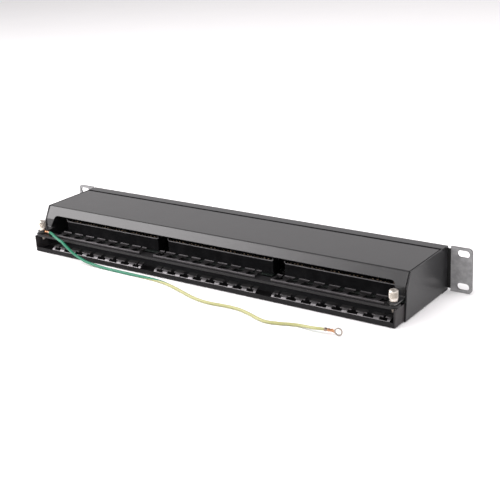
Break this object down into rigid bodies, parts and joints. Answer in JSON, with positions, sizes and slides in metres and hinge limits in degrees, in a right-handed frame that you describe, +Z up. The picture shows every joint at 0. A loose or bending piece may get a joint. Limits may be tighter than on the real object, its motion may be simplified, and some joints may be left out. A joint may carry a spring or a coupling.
{
  "type": "patch panel",
  "caption": "Rack-mount shielded network patch panel, one rack unit high, with a sloped lid, rear cable tray with tie tabs, thumbscrews and a loose earth lead.",
  "frame": {"origin": "middle of the footprint on the surface that it stands on, measured without the earth lead", "axes": "+Z up, -Y towards the ports, +Y towards the cable tray, +X towards the end with the earth lead"},
  "size_m": [0.4826, 0.1449, 0.0437],
  "materials": {
    "case_paint": "satin black powder coat",
    "plated_steel": "zinc-plated sheet steel",
    "jack_shield": "nickel-plated socket shield",
    "nickel_plate": "nickel plate, knurled on the thumbscrews",
    "tinned_copper": "thinly tinned copper",
    "circuit_board": "green solder mask",
    "black_plastic": "moulded, fine texture",
    "insulation": "green and yellow PVC"
  },
  "bodies": {
    "panel": {"front_panel": "case_paint", "chassis": "case_paint", "rear_cable_tray": "case_paint", "rear_ledge": "case_paint", "upper_tie_comb_1": "plated_steel", "upper_tie_comb_2": "plated_steel", "upper_tie_comb_3": "plated_steel", "lower_tie_comb_1": "plated_steel", "lower_tie_comb_2": "plated_steel", "lower_tie_comb_3": "plated_steel", "port_jack_01": "jack_shield", "port_jack_02": "jack_shield", "port_jack_03": "jack_shield", "port_jack_04": "jack_shield", "port_jack_05": "jack_shield", "port_jack_06": "jack_shield", "port_jack_07": "jack_shield", "port_jack_08": "jack_shield", "port_jack_09": "jack_shield", "port_jack_10": "jack_shield", "port_jack_11": "jack_shield", "port_jack_12": "jack_shield", "port_jack_13": "jack_shield", "port_jack_14": "jack_shield", "port_jack_15": "jack_shield", "port_jack_16": "jack_shield", "port_jack_17": "jack_shield", "port_jack_18": "jack_shield", "port_jack_19": "jack_shield", "port_jack_20": "jack_shield", "port_jack_21": "jack_shield", "port_jack_22": "jack_shield", "port_jack_23": "jack_shield", "port_jack_24": "jack_shield", "circuit_board_1": "circuit_board", "front_terminal_block_1": "black_plastic", "rear_terminal_block_1": "black_plastic", "board_standoff_1a": "nickel_plate", "board_standoff_1b": "nickel_plate", "circuit_board_2": "circuit_board", "front_terminal_block_2": "black_plastic", "rear_terminal_block_2": "black_plastic", "board_standoff_2a": "nickel_plate", "board_standoff_2b": "nickel_plate", "circuit_board_3": "circuit_board", "front_terminal_block_3": "black_plastic", "rear_terminal_block_3": "black_plastic", "board_standoff_3a": "nickel_plate", "board_standoff_3b": "nickel_plate", "contact_washer": "nickel_plate", "ring_terminal_clamped": "tinned_copper", "ring_terminal_free": "tinned_copper", "earth_wire": "insulation"},
    "lid": {"top_cover": "case_paint"},
    "left_thumbscrew": {"thumbscrew_left": "nickel_plate"},
    "right_thumbscrew": {"thumbscrew_right": "nickel_plate"}
  },
  "joints": [
    {"name": "lid_lift", "type": "slide", "parent": "panel", "child": "lid", "axis": [0, 0, 1], "range_m": [0, 0.06]},
    {"name": "left_thumbscrew_turn", "type": "hinge", "parent": "lid", "child": "left_thumbscrew", "pos_m": [0.21, 0.0429, 0.0205], "axis": [0, 0, 1], "continuous": true},
    {"name": "right_thumbscrew_turn", "type": "hinge", "parent": "lid", "child": "right_thumbscrew", "pos_m": [-0.21, 0.0429, 0.0205], "axis": [0, 0, 1], "continuous": true}
  ]
}
